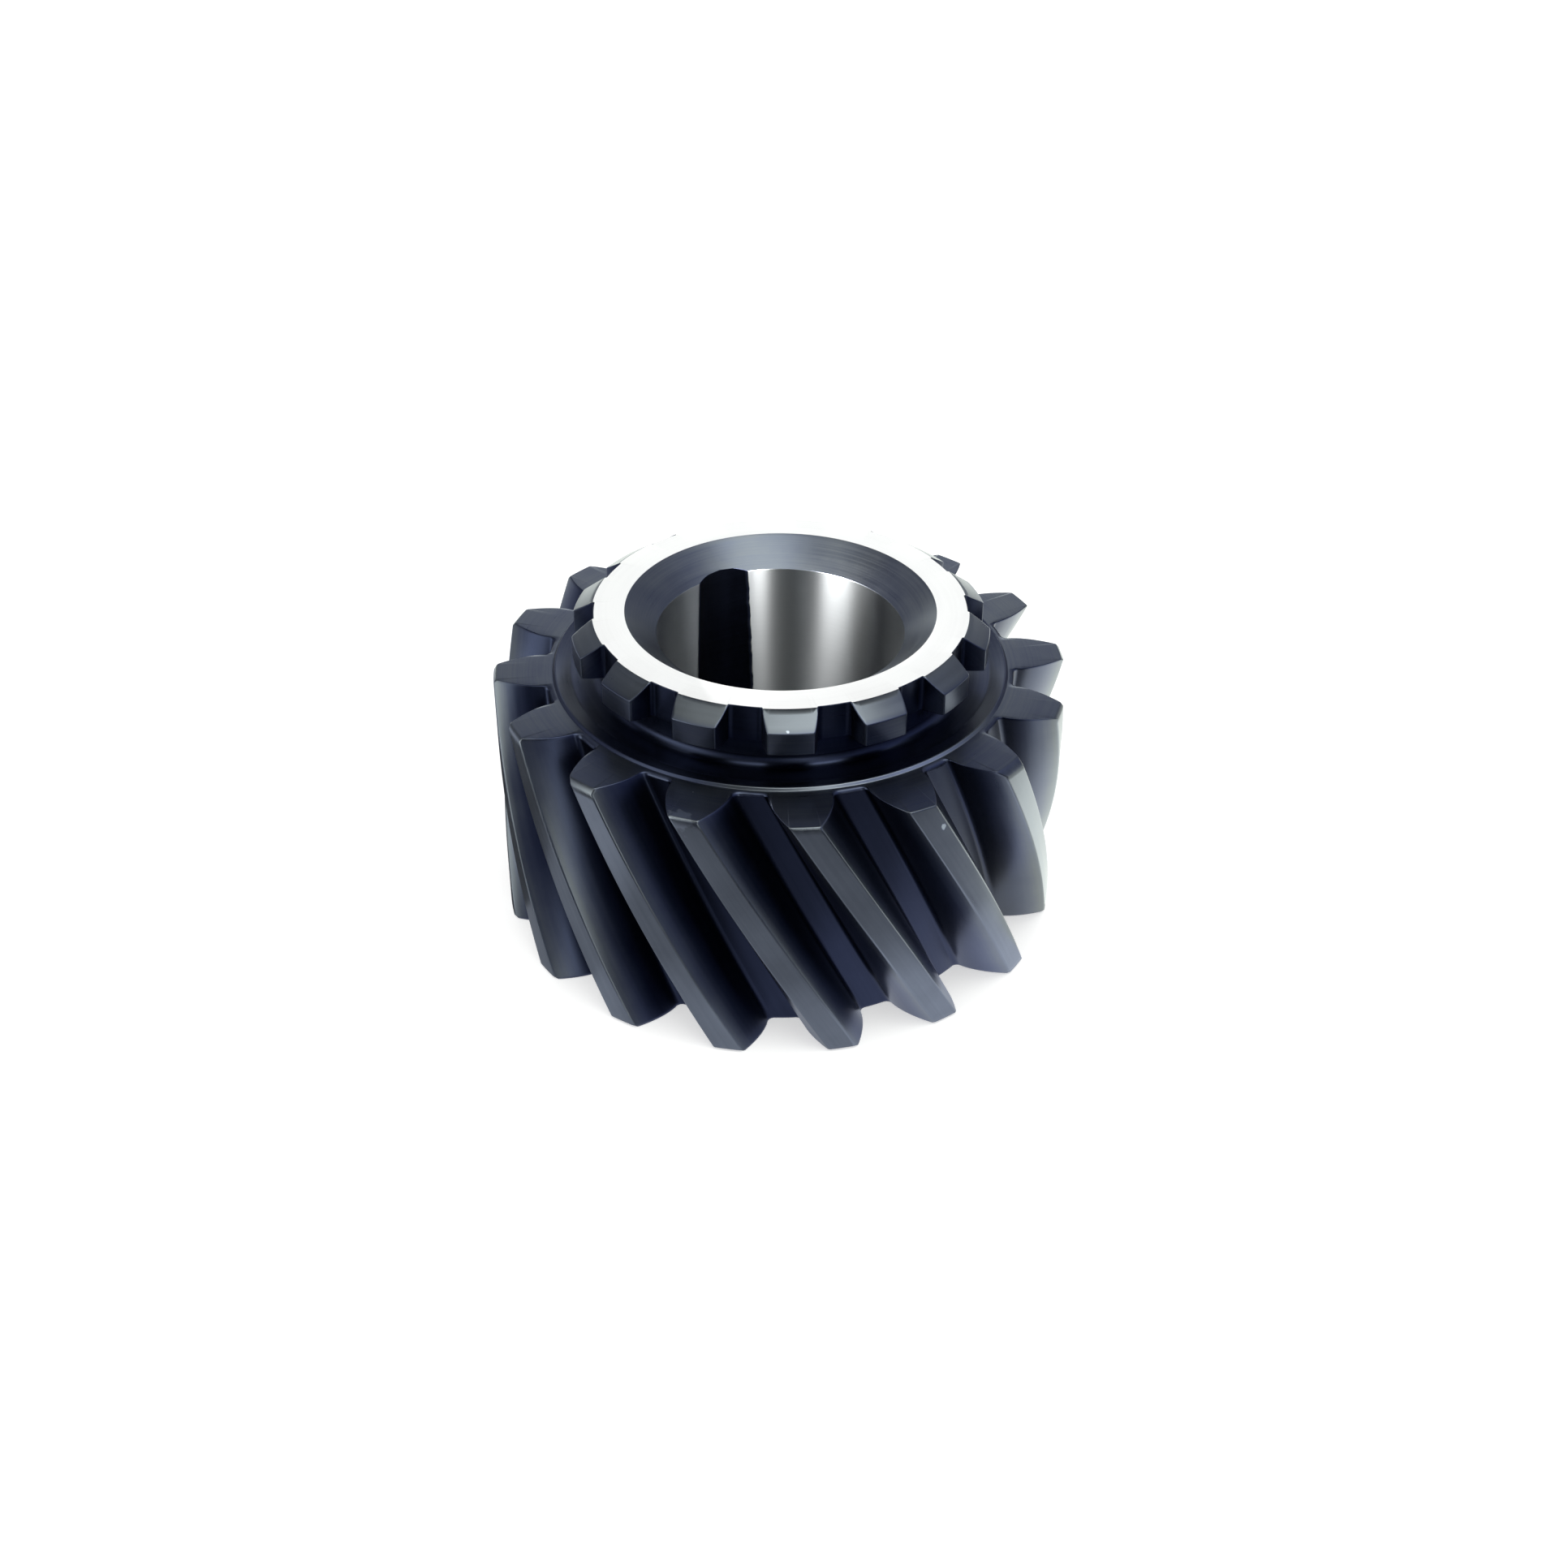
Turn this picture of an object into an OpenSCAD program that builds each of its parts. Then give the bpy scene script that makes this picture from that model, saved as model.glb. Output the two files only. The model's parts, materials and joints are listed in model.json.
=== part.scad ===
// Helical pinion of a gearbox: one solid piece with a ring of dog teeth on its upper end.
// The axis of the bore is the Z axis, the front of the part faces -Y, and it stands on z = 0.
// All sizes are in millimetres and all angles in degrees.

/* [Helical teeth] */
// Number of helical teeth
teeth = 16; // [15:1:20]
// Module of the teeth in their normal plane
normal_module = 5; // [4.8:0.1:5.6]
// Helix angle at the pitch circle, left hand
helix_angle = 27.3; // [24:0.1:32]
// Pressure angle in the normal plane
pressure_angle = 20; // [17.5:0.5:22.5]
// Added thickness of each tooth at the pitch circle
tooth_thickening = 0.6; // [0:0.1:1]
// Height of a tooth from its root to its tip
tooth_height = 9.2; // [8:0.1:10]
// Radius of the fillet at the foot of each flank
root_fillet = 1.1; // [0.6:0.1:1.4]
// Width of the toothed body along the axis
face_width = 47; // [30:0.5:60]
// Chamfer at both ends of the tooth tips
tip_chamfer = 0.5; // [0.2:0.1:1.5]
// Turn of the first tooth from the front, at the upper end of the teeth
first_tooth_turn = 4.83; // [0:0.01:22.5]

/* [Bore] */
// Diameter of the bore
bore_d = 43; // [34:0.5:48]
// Diameter of the lead-in at the upper end of the bore
mouth_d = 54; // [50:0.5:60]
// Depth of the lead-in at the upper end of the bore
mouth_depth = 4.5; // [1:0.1:8]
// Chamfer at the lower end of the bore
lower_bore_chamfer = 1; // [0.5:0.1:3]
// Radius of the rounded oil groove along the bore
groove_radius = 8; // [6:0.5:12]
// Depth of the oil groove where the bore starts, at its upper end
groove_depth = 1; // [0.5:0.1:1.5]
// Slope of the oil groove, in degrees: it gets deeper towards the lower end
groove_slope = 1.2; // [0:0.1:2]
// Turn of the oil groove from the front
groove_turn = 209.6; // [0:0.1:360]

/* [Dog ring] */
// Height of the ground ring face above the end face of the teeth
ring_height = 11; // [8:0.1:16]
// Diameter of the ring at the foot of the dog teeth
ring_d = 64.6; // [63.8:0.1:67]
// Number of dog teeth
dog_count = 14; // [10:1:16]
// Diameter over the dog teeth
dog_d = 72.4; // [70:0.1:77]
// Width of a dog tooth at its foot
dog_foot_width = 9.1; // [7:0.1:10]
// Width of a dog tooth at its outer edge
dog_edge_width = 7.7; // [6:0.1:8]
// Radius of the curved flanks of a dog tooth
dog_flank_radius = 15; // [10:0.5:40]
// Height of the outer land of a dog tooth
dog_land = 4; // [2:0.1:5]
// Drop of the sloping crown of a dog tooth
dog_crown_drop = 2.5; // [1:0.1:4]
// Width of the ground ring face that the dog teeth carry past their foot
dog_crown_step = 0.2; // [0.1:0.05:0.6]
// Turn of the first dog tooth from the front
first_dog_turn = 3.07; // [0:0.01:25.7]

/* [Neck and recess] */
// Diameter of the neck under the dog teeth
neck_d = 63; // [60:0.1:63.6]
// Radius of the fillet between the neck and the recess floor
neck_fillet = 1.6; // [1:0.1:2]
// Depth of the recess floor below the end face of the teeth
recess_depth = 0.4; // [0.2:0.1:2]
// Width of the sloping outer band of the recess
recess_slope_width = 2.6; // [1.5:0.1:3.5]
// Height of the thin lip around the recess
lip_height = 0.45; // [0.2:0.05:0.8]
// Width of the sloping outside of the lip
lip_slope_width = 0.3; // [0.15:0.05:0.5]
// Width of the flat top of the lip
lip_top_width = 0.25; // [0.1:0.05:0.5]
// Width of the flat band between the lip and the root of the teeth
root_band_width = 1.05; // [0.5:0.05:2]

/* [Hidden] */
$fn = 128;
// Direction of the front of the part, -Y, as an angle from the X axis
front = -90;
// How far each cut runs past the faces that it opens
overrun = 1;
// Number of straight steps along a tooth flank, its foot fillet, the helix and the neck fillet
flank_steps = 8;
fillet_steps = 4;
twist_slices = 12;
neck_fillet_steps = 8;

// Pitch, tip, root and base circles in the plane across the axis
pitch_r = normal_module * teeth / (2 * cos(helix_angle));
tip_r = pitch_r + normal_module;
root_r = tip_r - tooth_height;
transverse_angle = atan(tan(pressure_angle) / cos(helix_angle));
base_r = pitch_r * cos(transverse_angle);
tooth_pitch = 360 / teeth;
twist_per_mm = tan(helix_angle) / pitch_r * 180 / PI;
twist = twist_per_mm * face_width;

// Heights along the axis
top_z = face_width + ring_height;
crown_z = top_z - dog_crown_drop;
dog_under_z = crown_z - dog_land;
floor_z = face_width - recess_depth;
lip_z = face_width + lip_height;
mouth_z = top_z - mouth_depth;

// Radii of the turned body
bore_r = bore_d / 2;
mouth_r = mouth_d / 2;
ring_r = ring_d / 2;
dog_r = dog_d / 2;
neck_r = neck_d / 2;
lip_foot_r = root_r - root_band_width;
lip_outer_r = lip_foot_r - lip_slope_width;
lip_inner_r = lip_outer_r - lip_top_width;
floor_outer_r = lip_inner_r - recess_slope_width;

function polar(r, a) = [r * cos(a), r * sin(a)];
function radians(a) = a * PI / 180;
function degrees(a) = a * 180 / PI;

// Involute function in degrees, and the half angle of a tooth at a radius on its flank
function inv(a) = degrees(tan(a)) - a;
function flank_pressure(r) = acos(min(1, base_r / r));
half_at_pitch = 90 / teeth + degrees(tooth_thickening / (2 * pitch_r));
half_at_base = half_at_pitch + inv(transverse_angle);
function tooth_half(r) = half_at_base - inv(flank_pressure(r));

// The fillet touches the root circle and either the involute or the radial foot of the flank
fillet_r = root_r + root_fillet;
reach = sqrt(max(0, pow(fillet_r, 2) - pow(base_r, 2)));
on_involute = reach > root_fillet;
roll = on_involute ? (reach - root_fillet) / base_r : 0;
foot_r = on_involute ? base_r * sqrt(1 + pow(roll, 2)) : sqrt(pow(fillet_r, 2) - pow(root_fillet, 2));
fillet_turn = on_involute ? degrees(roll) - atan(reach / base_r) : -asin(root_fillet / fillet_r);
fillet_half = half_at_base - fillet_turn;

// Points of one flank from the fillet's start on the root circle to just past the tip, as [radius, half angle]
fillet_centre = polar(fillet_r, fillet_half);
foot_point = polar(foot_r, tooth_half(foot_r));
foot_heading = atan2(foot_point[1] - fillet_centre[1], foot_point[0] - fillet_centre[0]) + 360;
root_heading = fillet_half + 180;
fillet_points = [
    for (i = [0:fillet_steps])
        fillet_centre + polar(root_fillet, root_heading + (foot_heading - root_heading) * i / fillet_steps)
];
flank_points = [
    for (i = [1:flank_steps])
        let (r = foot_r + (tip_r + overrun - foot_r) * i / flank_steps)
        polar(r, tooth_half(r))
];
tooth_side = concat(fillet_points, flank_points);

// Flank circle of a dog tooth: it passes through the foot and edge corners on one side
dog_foot_half = asin(dog_foot_width / (2 * ring_r));
dog_edge_half = asin(dog_edge_width / (2 * dog_r));
dog_foot = polar(ring_r, dog_foot_half);
dog_edge = polar(dog_r, dog_edge_half);
dog_chord = dog_edge - dog_foot;
dog_sag_arm = sqrt(pow(dog_flank_radius, 2) - pow(norm(dog_chord) / 2, 2));
dog_flank_centre = (dog_foot + dog_edge) / 2 + [dog_chord[1], -dog_chord[0]] / norm(dog_chord) * dog_sag_arm;

// Half section of the turned body, from the bore around the outside and back
function arc(centre, r, from, to, steps) = [
    for (i = [0:steps]) centre + polar(r, from + (to - from) * i / steps)
];
body_section = concat(
    [
        [bore_r + lower_bore_chamfer, 0],
        [tip_r - tip_chamfer, 0],
        [tip_r, tip_chamfer],
        [tip_r, face_width - tip_chamfer],
        [tip_r - tip_chamfer, face_width],
        [lip_foot_r, face_width],
        [lip_outer_r, lip_z],
        [lip_inner_r, lip_z],
        [floor_outer_r, floor_z]
    ],
    arc([neck_r + neck_fillet, floor_z + neck_fillet], neck_fillet, 270, 180, neck_fillet_steps),
    [
        [neck_r, dog_under_z],
        [dog_r, dog_under_z],
        [dog_r, crown_z],
        [ring_r + dog_crown_step, top_z],
        [mouth_r, top_z],
        [bore_r, mouth_z],
        [bore_r, lower_bore_chamfer]
    ]
);

// Outline of the space between two helical teeth, centred on the X axis
module tooth_space_outline() {
    gap_half = tooth_pitch / 2;
    lower = [for (p = tooth_side) polar(norm(p), atan2(p[1], p[0]) - gap_half)];
    upper = [for (i = [len(lower) - 1:-1:0]) [lower[i][0], -lower[i][1]]];
    polygon(concat(upper, lower));
}

// One helical tooth space, running past both end faces, centred at the front at the upper end
module tooth_space() {
    turn = first_tooth_turn + twist + tooth_pitch / 2 + twist_per_mm * overrun;
    translate([0, 0, -overrun])
        rotate(front + turn)
            linear_extrude(
                height = face_width + 2 * overrun,
                twist = twist + 2 * twist_per_mm * overrun,
                slices = twist_slices,
                segments = 0
            )
                tooth_space_outline();
}

// Outline of one dog tooth, pointing along X
module dog_outline() {
    intersection_for (side = [-1, 1])
        translate([dog_flank_centre[0], side * dog_flank_centre[1]])
            circle(r = dog_flank_radius);
}

// The spaces between the dog teeth, cut down to the ring
module dog_spaces() {
    translate([0, 0, dog_under_z - overrun])
        linear_extrude(top_z - dog_under_z + 2 * overrun)
            difference() {
                circle(r = dog_r + overrun);
                circle(r = ring_r);
                for (i = [0:dog_count - 1])
                    rotate(front + first_dog_turn + i * 360 / dog_count)
                        dog_outline();
            }
}

// The oil groove along the bore, on an axis that leans outwards towards the lower end
module oil_groove() {
    rotate(front + groove_turn)
        translate([bore_r + groove_depth - groove_radius, 0, mouth_z])
            rotate([0, -groove_slope, 0])
                cylinder(h = 3 * top_z, r = groove_radius, center = true);
}

// The whole pinion, cut from one turned body
module helical_pinion() {
    color([0.3, 0.31, 0.34])
        difference() {
            rotate_extrude()
                polygon(body_section);
            for (i = [0:teeth - 1])
                rotate(i * tooth_pitch)
                    tooth_space();
            dog_spaces();
            oil_groove();
        }
}

helical_pinion();
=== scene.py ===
"""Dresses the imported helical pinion: one piece of blackened steel with a ground ring face and bore.

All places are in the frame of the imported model. The sizes below are millimetres and are turned into
metres where a mesh is made. Angles round the axis are measured from the front, -Y, towards the right, +X.
"""
import json
from cmath import phase, rect
from math import acos, asin, atan, cos, pi, radians, sin, sqrt, tan

import bmesh
import bpy
from mathutils import Matrix, Vector


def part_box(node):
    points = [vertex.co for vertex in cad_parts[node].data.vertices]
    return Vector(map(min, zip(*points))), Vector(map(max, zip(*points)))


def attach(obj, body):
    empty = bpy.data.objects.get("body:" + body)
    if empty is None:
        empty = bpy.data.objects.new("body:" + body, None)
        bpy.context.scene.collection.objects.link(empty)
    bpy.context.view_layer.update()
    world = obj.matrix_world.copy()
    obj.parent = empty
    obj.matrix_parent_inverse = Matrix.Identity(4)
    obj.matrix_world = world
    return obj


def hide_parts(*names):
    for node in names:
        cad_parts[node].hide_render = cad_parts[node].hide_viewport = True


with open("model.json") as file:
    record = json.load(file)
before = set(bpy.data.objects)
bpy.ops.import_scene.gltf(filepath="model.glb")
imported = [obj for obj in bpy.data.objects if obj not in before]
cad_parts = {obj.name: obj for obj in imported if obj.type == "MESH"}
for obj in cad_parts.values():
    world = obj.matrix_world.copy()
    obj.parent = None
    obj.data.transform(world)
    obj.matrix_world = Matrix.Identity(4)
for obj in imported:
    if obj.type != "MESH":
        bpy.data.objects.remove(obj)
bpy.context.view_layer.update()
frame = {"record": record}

MM = 0.001
NODE = "helical_pinion"

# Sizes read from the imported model
low_corner, high_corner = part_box(NODE)
TIP_R = (high_corner[0] - low_corner[0]) / 2 / MM
TOP_Z = high_corner[2] / MM
BORE_R = next(m["dims"]["r_mm"] for m in frame["record"]["mounts"] if m["name"] == "bore")

# Helical teeth, as in the part's source
TEETH = 16
HELIX_ANGLE = radians(27.3)
PRESSURE_ANGLE = radians(20)
TOOTH_THICKENING = 0.6
TOOTH_HEIGHT = 9.2
ROOT_FILLET = 1.1
RING_HEIGHT = 11
FIRST_TOOTH_TURN = radians(4.83)

# Bore and its lead-in
MOUTH_R = 27
MOUTH_DEPTH = 4.5
LOWER_BORE_CHAMFER = 1

# Rounded oil groove along the bore, which gets deeper downwards
GROOVE_RADIUS = 8
GROOVE_DEPTH = 1
GROOVE_SLOPE = radians(1.2)
GROOVE_TURN = radians(209.6)
GROOVE_EDGE = 0.2
GROOVE_WORN_BACK = radians(0.7)
# The groove's rough edge wanders in waves along the bore: (degrees of turn, radians per mm, start)
GROOVE_WAVES = ((0.22, 1.3, 0), (0.16, 3.7, 1))

# Ring of dog teeth
RING_R = 32.3
DOG_COUNT = 14
DOG_R = 36.2
DOG_FOOT_WIDTH = 9.1
DOG_EDGE_WIDTH = 7.7
DOG_FLANK_RADIUS = 15
DOG_LAND = 4
DOG_CROWN_DROP = 2.5
DOG_CROWN_STEP = 0.2
FIRST_DOG_TURN = radians(3.07)

# Neck, recess and lip
NECK_R = 31.5
NECK_FILLET = 1.6
RECESS_DEPTH = 0.4
RECESS_SLOPE_WIDTH = 2.6
LIP_HEIGHT = 0.45
LIP_SLOPE_WIDTH = 0.3
LIP_TOP_WIDTH = 0.25
ROOT_BAND_WIDTH = 1.05

# Edges: the part's source has a chamfer at the tips and leaves the others sharp. Teeth are counted from the
# one at the front, towards the right.
TIP_ROUNDING = 0.3
FLANK_EDGE = 0.14
LOWER_EDGE = 0.28
ROOT_EDGE = 0.6
ROOT_EDGE_VARIATION = 0.25
ROOT_EDGE_WANDER = 2.1
DOG_EDGE = 0.14
# How far the edges of the dog teeth's crowns take the edge tone: partly rubbed oxide, partly a painted
# highlight
DOG_EDGE_WEAR_AND_HIGHLIGHT = 0.5
DOG_CORNER_ROUNDING = 0.3
LIP_FOOT_ROUNDING = 0.06
LIP_TOP_ROUNDING = 0.09
RECESS_ROUNDING = 0.25
MOUTH_ROUNDING = 0.1
BORE_ROUNDING = 0.12
UPPER_TIP_CHAMFER = 0.5
LOWER_TIP_CHAMFER = 0.45
HAND_FILED_TIPS = {0: 0.3, 1: 0.16, 2: 1.1, TEETH - 1: 0.35, TEETH - 2: 0.8}
# The points of a rounded edge from the side to the end face, as shares of its width: (inset, depth)
EDGE_MIDDLE = 1 - sqrt(0.5)
EDGE_POINTS = ((0, 1), (EDGE_MIDDLE, EDGE_MIDDLE), (1, 0))
# Narrow flat rings that start the profiles of the lip and of the lead-in
LIP_APRON = 0.08
MOUTH_APRON = 0.3

# Fineness of the mesh. The merge distance is in metres.
TIP_STEPS = 3
CORNER_STEPS = 4
ROUNDING_STEPS = 3
FLANK_STEPS = 14
FILLET_STEPS = 6
ROOT_STEPS = 3
AXIAL_STEPS = 40
TURNED_STEPS = 384
NECK_FILLET_STEPS = 8
DOG_FLANK_STEPS = 6
DOG_LAND_STEPS = 8
DOG_GAP_STEPS = 6
CROWN_ROWS = 4
BORE_STEPS = 240
BORE_ROWS = 56
GROOVE_STEPS = 20
LEAD_IN_ROWS = 22
MERGE_DISTANCE = 1e-7

# Heights and radii that follow
FACE_WIDTH = TOP_Z - RING_HEIGHT
NORMAL_MODULE = TIP_R / (TEETH / (2 * cos(HELIX_ANGLE)) + 1)
PITCH_R = TIP_R - NORMAL_MODULE
ROOT_R = TIP_R - TOOTH_HEIGHT
TRANSVERSE_ANGLE = atan(tan(PRESSURE_ANGLE) / cos(HELIX_ANGLE))
BASE_R = PITCH_R * cos(TRANSVERSE_ANGLE)
TOOTH_PITCH = 2 * pi / TEETH
TWIST_PER_MM = tan(HELIX_ANGLE) / PITCH_R
HALF_AT_BASE = pi / 2 / TEETH + TOOTH_THICKENING / (2 * PITCH_R) + tan(TRANSVERSE_ANGLE) - TRANSVERSE_ANGLE
CROWN_Z = TOP_Z - DOG_CROWN_DROP
DOG_UNDER_Z = CROWN_Z - DOG_LAND
DOG_PITCH = 2 * pi / DOG_COUNT
FLOOR_Z = FACE_WIDTH - RECESS_DEPTH
LIP_Z = FACE_WIDTH + LIP_HEIGHT
LIP_FOOT_R = ROOT_R - ROOT_BAND_WIDTH
LIP_OUTER_R = LIP_FOOT_R - LIP_SLOPE_WIDTH
LIP_INNER_R = LIP_OUTER_R - LIP_TOP_WIDTH
FLOOR_OUTER_R = LIP_INNER_R - RECESS_SLOPE_WIDTH
MOUTH_Z = TOP_Z - MOUTH_DEPTH

# The studio, in metres and degrees, apart from the panels over the bore, which are in mm
CARD_DISTANCE = 1.5
CARD_STEP = 8
FLOOR_CARD_Z = 0.0003
FLOOR_HALF = 3.0
FLOOR_GREY = 0.8
FLOOR_GLOW = 0.45
PANEL_Z = 74
PANEL_HEIGHT = 26
WHITE = (1, 1, 1, 1)

# Tints of the cards and lamps
COOL = (0.82, 0.94, 1.36)
MILD = (0.93, 1.0, 1.13)
CLEAR = (0.97, 1.02, 0.95)
NEUTRAL = (0.98, 1.03, 0.95)

# The photograph's camera: its place in metres, its tilt down, its slight roll and its lens in mm
CAMERA_PLACE = (0.000833, -0.317470, 0.241536)
CAMERA_TILT = radians(34.809)
CAMERA_ROLL = radians(0.4697)
CAMERA_LENS = 48.66
SENSOR_WIDTH = 36

# Finishes of the pinion's mesh, one material slot each
FLANKS, END_FACE, LIP, RECESS, NECK, DOG_SIDES, CROWNS, RING_FACE, LEAD_IN, BORE, GROOVE = range(11)

# Bright nicked spots, one rubbed patch and one painted highlight at the corner of a tooth's tip, in the
# oxide: their place in mm, their radius and the tone that they add
NICKS_AND_HIGHLIGHT = (
    ((26.5, -42.4, 42.3), 0.5, 4.5),
    ((1.4, -35.8, 55.76), 0.3, 2),
    # A painted highlight where the chamfer of this tooth's tip begins
    ((36.9, -33.5, 47.0), 0.4, 2),
    ((-13.7, -40.1, 47.0), 0.16, 2),
    ((-15.8, -47.4, 46.9), 2.3, 0.9),
)
# A spot has its full tone within the core, a share of its radius, and its edge is ragged
SPOT_CORE = 0.7
SPOT_RAGGEDNESS = (0.6, 1.4)

# Blackened steel: its colour where the tone is low and where it is high. A tone of 1 is that of the end
# face, and the other faces are lighter or darker, partly for their oxide and partly as painted light and
# shade. Reaches are in mm, and the depths of marks in metres.
# The low-tone colour is bluer: it stands for thick oxide and for the painted shade of the roots, recess and
# groove alike
THICK_OXIDE_AND_SHADE_BLUE = (0.112, 0.134, 0.245)
THIN_OXIDE = (0.150, 0.163, 0.188)
TONES = {END_FACE: 1.0, LIP: 0.5, RECESS: 0.3, NECK: 0.55, CROWNS: 1.22, LEAD_IN: 1.02, GROOVE: 0.12}
# A painted highlight on the lip at the front right: its tone, its turn from the front and its reach in mm
LIP_HIGHLIGHT_TONE = 2.9
LIP_HIGHLIGHT_TURN = radians(25)
LIP_HIGHLIGHT_REACH = (5, 30)
# Painted shade in the recess: dark at the front, lighter at the sides and the back
RECESS_SIDE_TONE = 0.65
RECESS_DARK_REACH = (24, 50)
# Tones from the roots to the tips of the teeth and of the dog teeth: partly oxide, partly painted shade deep
# between them
ROOT_TONE = 0.3
TIP_TONE = 1.3
FLANK_TONE_POWER = 2.8
TIP_LAND_LIFT_TONE = 0.25
DOG_ROOT_TONE = 0.35
DOG_TIP_TONE = 0.9
DOG_TONE_POWER = 1.5
# The tone that edges are drawn to: partly rubbed oxide, partly a painted highlight
EDGE_WEAR_AND_HIGHLIGHT_TONE = 0.65
BLUE_TINT_TONES = (0.4, 1.1)
CLOUD_TONES = (0.88, 1.12)
MARK_TONES = (0.93, 1.07)
MARK_ROUGHNESS = (0.285, 0.345)
CLOUD_ROUGHNESS = (-0.02, 0.02)
MARK_DEPTH = 2.5e-6
GRAIN_DEPTH = 1.5e-6

# Ground steel of the ring face and of the bore
# The ring face's near-white, mostly matte colour is partly a painted reflection of the bright surround
GROUND_COLOUR = (0.98, 0.98, 0.975)
GROUND_METALLIC = 0.25
GROUND_ROUGHNESS = (0.42, 0.5)
GRINDING_TONES = (0.97, 1.0)
GRINDING_DEPTH = 2e-6
BORE_COLOUR = (0.43, 0.442, 0.448)
BORE_ROUGHNESS = 0.3
QUARTER_TURN = 0.25

# Noise patterns, as (scale per metre, detail), and the range that holds most of their values
CLOUDS = (85, 4)
GROUND_CLOUDS = (60, 3)
GRAIN = (5200, 2)
SPOT_NOISE = (900, 3)
HELICAL_NOISE = (1100, 3)
TURNING_NOISE = (1.0, 3)
NOISE_RANGE = (0.3, 0.7)

# Marks of the tools: how closely they lie, and how slowly they change along their way
TURNING_MARKS_PER_METRE = 2600
TURNING_FADES_PER_METRE = 45
HELICAL_STRETCH = 0.03


def spread(start, end, steps):
    """Evenly spaced values from start to end, both included."""
    return [start + (end - start) * i / steps for i in range(steps + 1)]


def bend(before, corner, after, steps):
    """A smooth bend from one point to another round a corner."""
    return [before * (1 - t) ** 2 + 2 * corner * t * (1 - t) + after * t ** 2 for t in spread(0, 1, steps)]


def flank_half(r):
    """Half angle of a helical tooth at a radius on its involute flank."""
    pressure = acos(min(1, BASE_R / r))
    return HALF_AT_BASE - (tan(pressure) - pressure)


def half_tooth(tip_radius):
    """Outline of half a tooth, from the middle of its tip to the middle of the root land beside it."""
    corner_half = flank_half(tip_radius)
    land_half = corner_half - TIP_ROUNDING / tip_radius
    flank_top = tip_radius - TIP_ROUNDING
    tip = [rect(tip_radius, a) for a in spread(0, land_half, TIP_STEPS)]
    flank_start = rect(flank_top, flank_half(flank_top))
    corner = bend(tip[-1], rect(tip_radius, corner_half), flank_start, CORNER_STEPS)

    # The fillet touches the involute at foot_r and the root circle
    reach = sqrt((ROOT_R + ROOT_FILLET) ** 2 - BASE_R ** 2)
    roll = (reach - ROOT_FILLET) / BASE_R
    foot_r = BASE_R * sqrt(1 + roll ** 2)
    fillet_half = HALF_AT_BASE - (roll - atan(reach / BASE_R))
    centre = rect(ROOT_R + ROOT_FILLET, fillet_half)
    foot = rect(foot_r, flank_half(foot_r))
    flank = [rect(r, flank_half(r)) for r in spread(flank_top, foot_r, FLANK_STEPS)]
    foot_heading = phase(foot - centre) + 2 * pi
    headings = spread(foot_heading, fillet_half + pi, FILLET_STEPS)
    fillet = [centre + rect(ROOT_FILLET, heading) for heading in headings]
    root = [rect(ROOT_R, a) for a in spread(fillet_half, TOOTH_PITCH / 2, ROOT_STEPS)]
    return tip + corner[1:] + flank[1:] + fillet[1:] + root[1:]


def root_share():
    """For each point of half_tooth, 0 on the tip and flank, rising over the fillet to 1 on the root land."""
    before = TIP_STEPS + 1 + CORNER_STEPS + FLANK_STEPS
    return [0] * before + spread(0, 1, FILLET_STEPS)[1:] + [1] * ROOT_STEPS


def whole_tooth(half):
    """Both sides of a tooth from one, without the last point, which the next tooth shares."""
    return [p.conjugate() for p in half[::-1]] + half[1:-1]


def teeth_outline(cuts):
    """Closed outline across all teeth. cuts gives how far each tooth's tip is cut back."""
    points = []
    for tooth, cut in enumerate(cuts):
        points += [p * rect(1, tooth * TOOTH_PITCH) for p in whole_tooth(half_tooth(TIP_R - cut))]
    return points


def inset(points, widths):
    """Moves each point of a closed outline inwards by its own width."""
    moved = []
    for i, point in enumerate(points):
        along = points[(i + 1) % len(points)] - points[i - 1]
        moved.append(point + 1j * along / abs(along) * widths[i])
    return moved


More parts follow.
